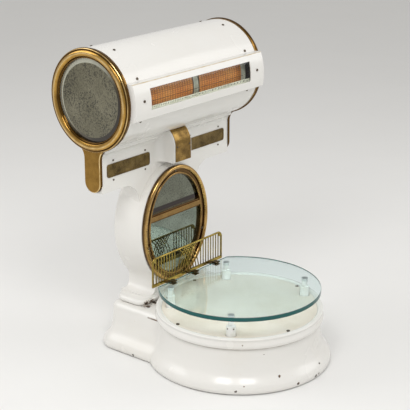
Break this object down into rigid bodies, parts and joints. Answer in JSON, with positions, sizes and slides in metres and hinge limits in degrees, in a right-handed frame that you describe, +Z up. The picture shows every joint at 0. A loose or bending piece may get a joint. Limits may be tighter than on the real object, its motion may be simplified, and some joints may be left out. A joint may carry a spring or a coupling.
{
  "type": "counter weighing scale with glass platter and drum chart",
  "caption": "Counter computing scale: glass platter on a round base, oval column and a long barrel whose chart drum turns with the load.",
  "frame": {"origin": "centre of the whole object's footprint box, on the counter", "axes": "+X along the barrel to the merchant's right, +Y from the merchant's side to the rear, +Z up"},
  "size_m": [0.484, 0.573, 0.7428],
  "materials": {
    "enamel": "glossy warm white enamel, worn and chipped",
    "deck_paint": "white paint",
    "brass": "aged polished brass",
    "plate_brass": "dark aged brass",
    "steel": "dull machined steel",
    "iron": "black painted iron",
    "screw": "dark round heads",
    "aluminium": "thin sheet and rod",
    "mirror": "aged silvering",
    "door_mirror": "greenish aged silvering",
    "platter_glass": "thick greenish plate glass",
    "window_glass": "thin curved glass",
    "chart_paper": "orange brown printed paper",
    "strip": "white strip with printed divisions",
    "sleeve": "white enamel",
    "pad": "soft pad",
    "backing": "sheet backing",
    "spring_steel": "spring wire"
  },
  "bodies": {
    "frame": {"base_casting": "enamel", "column_casting": "enamel", "deck_plate": "deck_paint", "deck_screws": "screw", "foot_bolts": "steel", "door_frame": "brass", "upper_mirror": "door_mirror", "lower_mirror": "door_mirror", "door_backing": "backing", "door_screws": "screw", "centre_cover": "plate_brass", "plate_screws": "screw", "nameplates": "plate_brass", "end_ring_left": "brass", "end_ring_right": "brass", "end_mirror_left": "mirror", "end_mirror_right": "mirror", "mirror_backings": "backing", "end_frame_left": "iron", "end_frame_right": "iron", "barrel_cover": "enamel", "belly_cover": "enamel", "window_panel": "enamel", "window_glass": "window_glass", "reading_strip": "strip", "index_wire": "steel", "barrel_screws": "screw", "rear_window_frame": "brass", "rear_window_glass": "window_glass", "fulcrum_stands": "iron", "link_bracket": "iron", "spring_hanger": "iron", "spring_left": "spring_steel", "spring_right": "spring_steel", "dashpot_cylinder": "plate_brass", "dashpot_lid": "plate_brass"},
    "drum": {"drum_frame": "aluminium", "chart_left": "chart_paper", "chart_right": "chart_paper", "drum_shaft": "steel", "pinion": "plate_brass"},
    "rod": {"stirrup": "steel", "draft_rod": "steel", "rack": "plate_brass", "crosshead": "plate_brass", "dashpot_plunger": "steel"},
    "platform": {"platform_spider": "iron", "platform_posts": "steel", "post_sleeves": "sleeve", "post_pads": "pad", "glass_platter": "platter_glass", "fence": "brass", "fence_clips": "plate_brass"},
    "lever": {"main_lever": "iron", "lever_knives": "steel"},
    "link": {"check_link": "steel"},
    "foot_fl": {"foot_front_left": "iron"},
    "foot_fr": {"foot_front_right": "iron"},
    "foot_rl": {"foot_rear_left": "iron"},
    "foot_rr": {"foot_rear_right": "iron"}
  },
  "joints": [
    {"name": "drum_turn", "type": "hinge", "parent": "frame", "child": "drum", "pos_m": [0, 0.1689, 0.6252], "axis": [1, 0, 0], "range_deg": [0, 330]},
    {"name": "rod_slide", "type": "slide", "parent": "frame", "child": "rod", "axis": [0, 0, -1], "range_m": [0, 0.0463], "stiffness_N_per_m": 520, "springref_m": -0.026, "deforming": ["spring_left", "spring_right"]},
    {"name": "platform_slide", "type": "slide", "parent": "frame", "child": "platform", "axis": [0, 0, -1], "range_m": [0, 0.0084]},
    {"name": "lever_tilt", "type": "hinge", "parent": "frame", "child": "lever", "pos_m": [0, -0.1205, 0.05], "axis": [-1, 0, 0], "range_deg": [0, 9.6]},
    {"name": "link_tilt", "type": "hinge", "parent": "frame", "child": "link", "pos_m": [0, -0.1205, 0.034], "axis": [-1, 0, 0], "range_deg": [0, 9.6]},
    {"name": "foot_fl_screw", "type": "slide", "parent": "frame", "child": "foot_fl", "axis": [0, 0, -1], "range_m": [-0.0025, 0.006]},
    {"name": "foot_fr_screw", "type": "slide", "parent": "frame", "child": "foot_fr", "axis": [0, 0, -1], "range_m": [-0.0025, 0.006]},
    {"name": "foot_rl_screw", "type": "slide", "parent": "frame", "child": "foot_rl", "axis": [0, 0, -1], "range_m": [-0.0025, 0.006]},
    {"name": "foot_rr_screw", "type": "slide", "parent": "frame", "child": "foot_rr", "axis": [0, 0, -1], "range_m": [-0.0025, 0.006]}
  ],
  "couplings": [
    {"joint": "drum_turn", "follows": "rod_slide", "rad_per_m": 124.38},
    {"joint": "platform_slide", "follows": "rod_slide", "ratio": 0.18025},
    {"joint": "lever_tilt", "follows": "rod_slide", "rad_per_m": 3.6049},
    {"joint": "link_tilt", "follows": "rod_slide", "rad_per_m": 3.6049}
  ]
}
